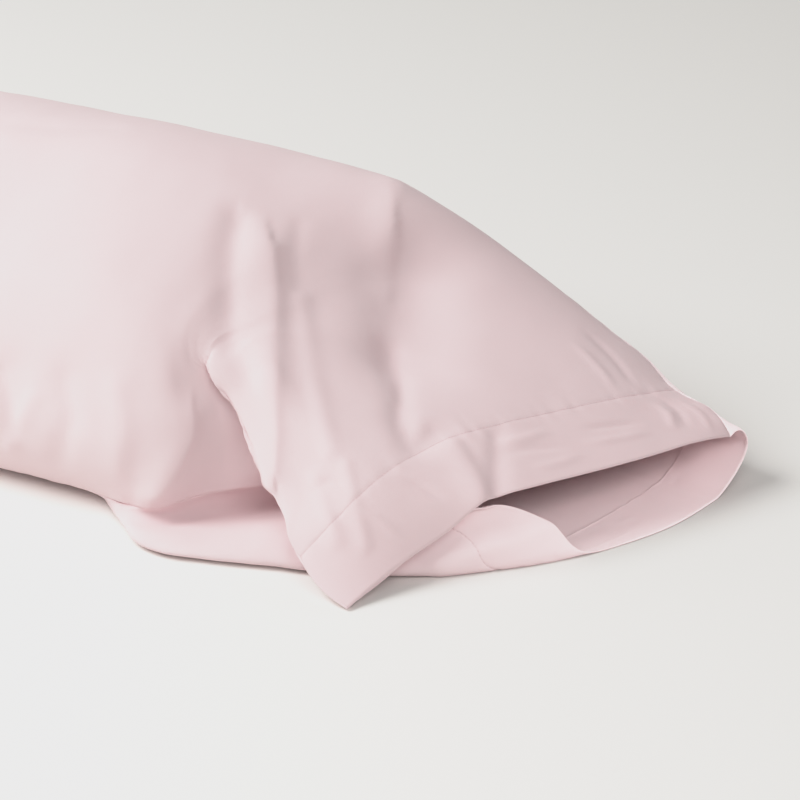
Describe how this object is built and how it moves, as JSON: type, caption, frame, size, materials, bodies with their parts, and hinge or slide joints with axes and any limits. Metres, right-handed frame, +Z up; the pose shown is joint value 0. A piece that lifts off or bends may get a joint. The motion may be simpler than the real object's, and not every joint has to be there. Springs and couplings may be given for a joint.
{
  "type": "pillowcase",
  "caption": "Plain cotton pillowcase, plumped up and creased towards its open hemmed mouth, lying on its back panel.",
  "frame": {"origin": "bottom centre of the case's box, on the surface that it lies on", "axes": "+X along the case towards its mouth, +Y towards its far side, +Z up"},
  "size_m": [0.7735, 0.3686, 0.225],
  "materials": {
    "top_cotton": "plain-woven cotton, soft and matt, pale pink",
    "bottom_cotton": "plain-woven cotton, soft and matt, pale pink"
  },
  "bodies": {
    "root": {"top_panel": "top_cotton", "bottom_panel": "bottom_cotton"}
  },
  "joints": []
}
